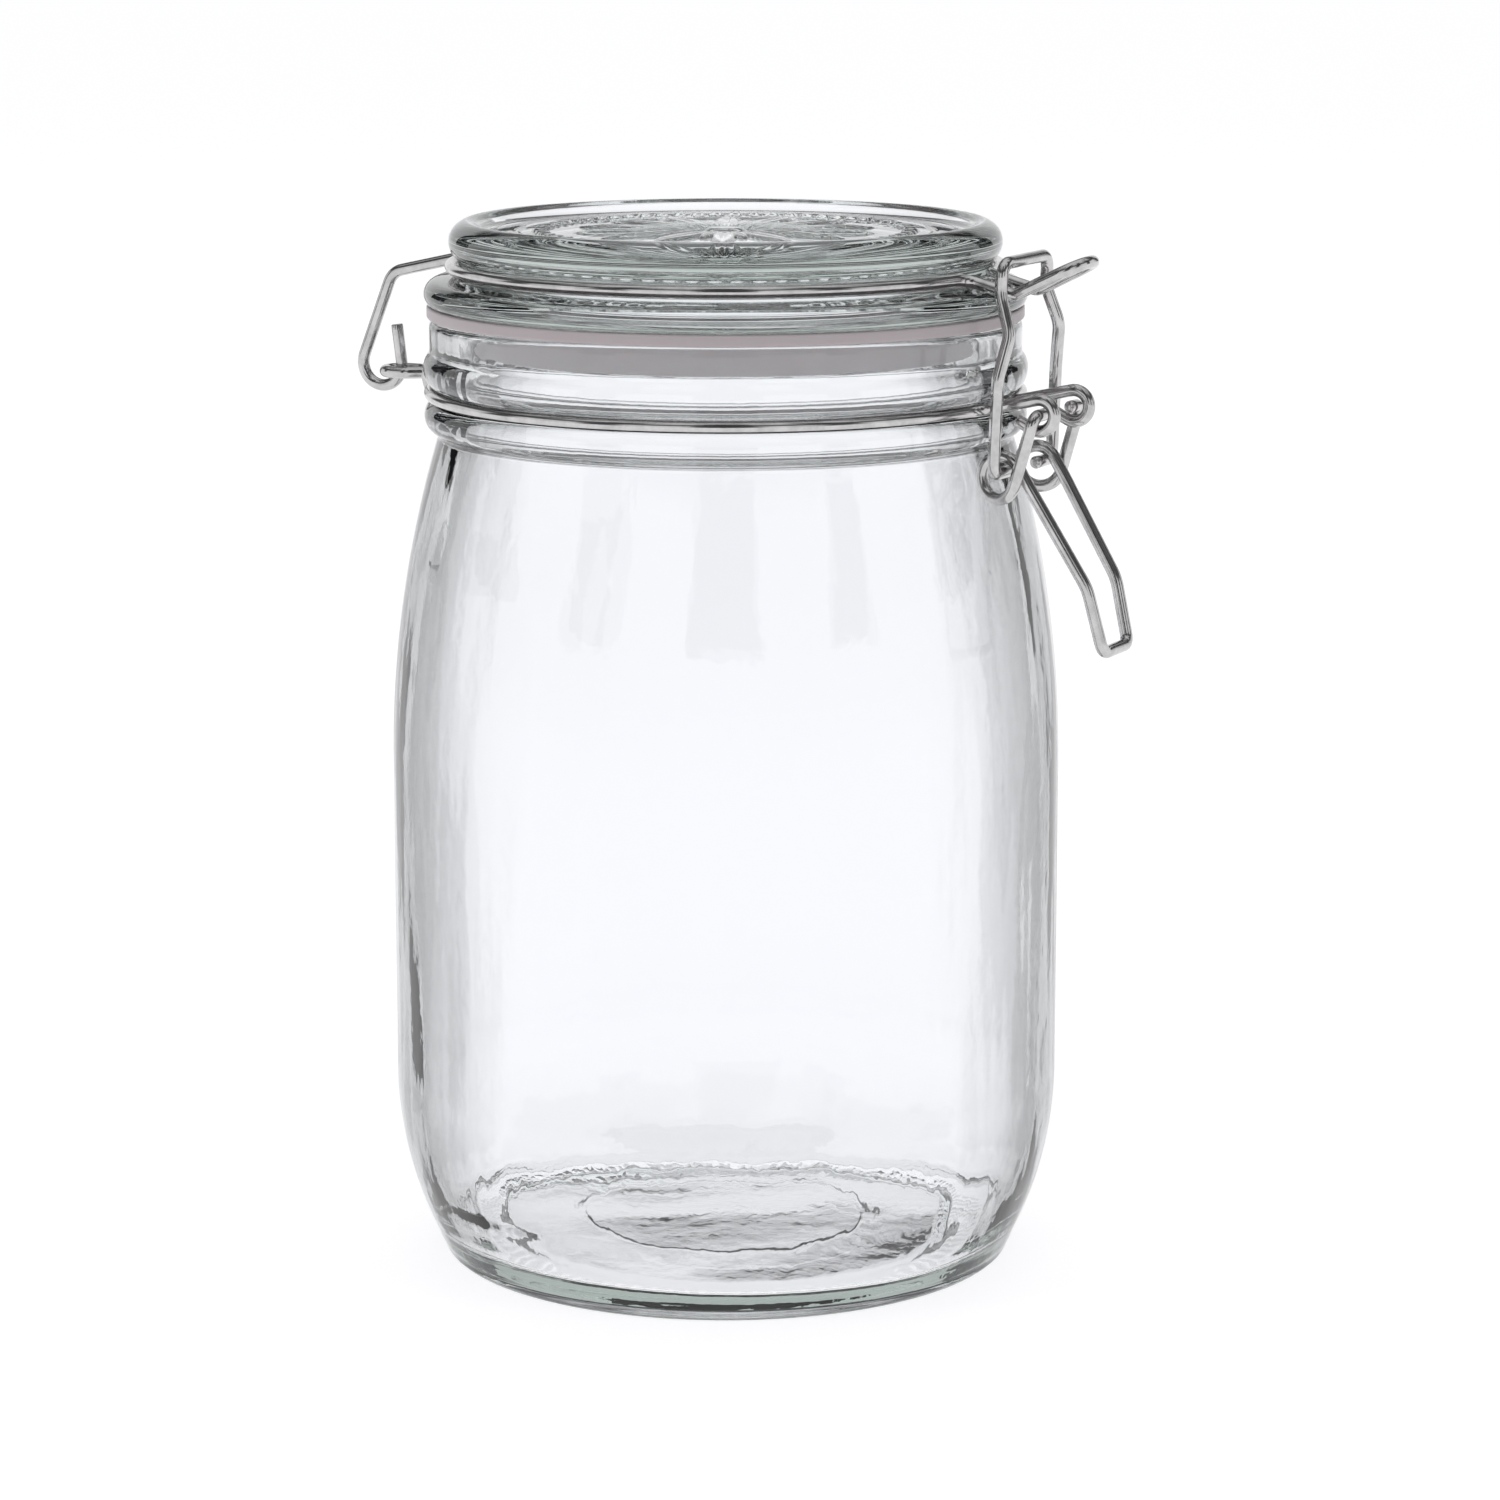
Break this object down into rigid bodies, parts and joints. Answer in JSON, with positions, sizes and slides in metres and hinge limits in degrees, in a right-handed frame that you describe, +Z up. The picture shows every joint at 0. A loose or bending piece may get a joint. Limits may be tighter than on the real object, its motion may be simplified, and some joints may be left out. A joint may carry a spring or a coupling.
{
  "type": "bail clamp jar",
  "caption": "Round glass storage jar with a hinged glass lid, a rubber gasket and a wire bail clamp that levers the lid shut.",
  "frame": {"origin": "on the jar's axis at the height of the foot it stands on", "axes": "+Z up along the jar's axis, +X toward the wire latch, -X toward the lid's hinge"},
  "size_m": [0.1398, 0.11, 0.1711],
  "materials": {
    "clear_glass": "clear pressed glass, polished, with a faint cool tint",
    "gasket_rubber": "pale translucent natural rubber, matte",
    "bright_wire": "bright drawn stainless steel wire, smooth"
  },
  "bodies": {
    "jar": {"jar_body": "clear_glass", "neck_wire_near": "bright_wire", "neck_wire_far": "bright_wire"},
    "lid": {"glass_lid": "clear_glass", "gasket": "gasket_rubber", "lid_wire": "bright_wire"},
    "lever": {"latch_lever": "bright_wire"},
    "link": {"latch_link": "bright_wire"}
  },
  "joints": [
    {"name": "lid_hinge", "type": "hinge", "parent": "jar", "child": "lid", "pos_m": [-0.064, 0, 0.1433], "axis": [0, -1, 0], "range_deg": [0, 110]},
    {"name": "lever_pivot", "type": "hinge", "parent": "jar", "child": "lever", "pos_m": [0.0586, 0, 0.1432], "axis": [0, -1, 0], "range_deg": [0, 130]},
    {"name": "link_pivot", "type": "hinge", "parent": "lever", "child": "link", "pos_m": [0.0528, 0, 0.134], "axis": [0, -1, 0], "range_deg": [-88.4, 0]}
  ],
  "couplings": [
    {"joint": "link_pivot", "follows": "lever_pivot", "ratio": -0.68}
  ]
}
